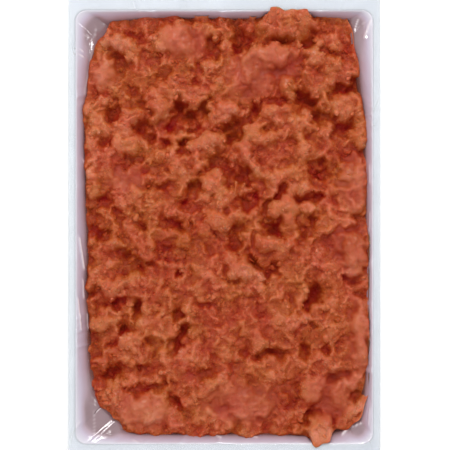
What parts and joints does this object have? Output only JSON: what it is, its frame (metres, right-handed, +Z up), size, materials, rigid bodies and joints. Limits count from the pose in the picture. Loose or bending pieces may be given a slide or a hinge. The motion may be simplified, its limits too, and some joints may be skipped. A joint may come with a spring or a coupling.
{
  "type": "spicy cod roe",
  "caption": "Loose crumbled spicy cod roe filling a shallow rectangular white foam tray that is lined with clear film.",
  "frame": {"origin": "middle of the tray's flat underside", "axes": "+X across the tray, +Y along it, +Z up out of its open top"},
  "size_m": [0.1714, 0.2574, 0.0387],
  "materials": {
    "foam": "white expanded foam, slightly bluish, with a soft skin",
    "clear_film": "thin clear glossy film with small folds",
    "roe": "moist orange-red crumbled roe with a fine grain of eggs"
  },
  "bodies": {
    "root": {"tray": "foam", "film": "clear_film", "roe": "roe"}
  },
  "joints": []
}
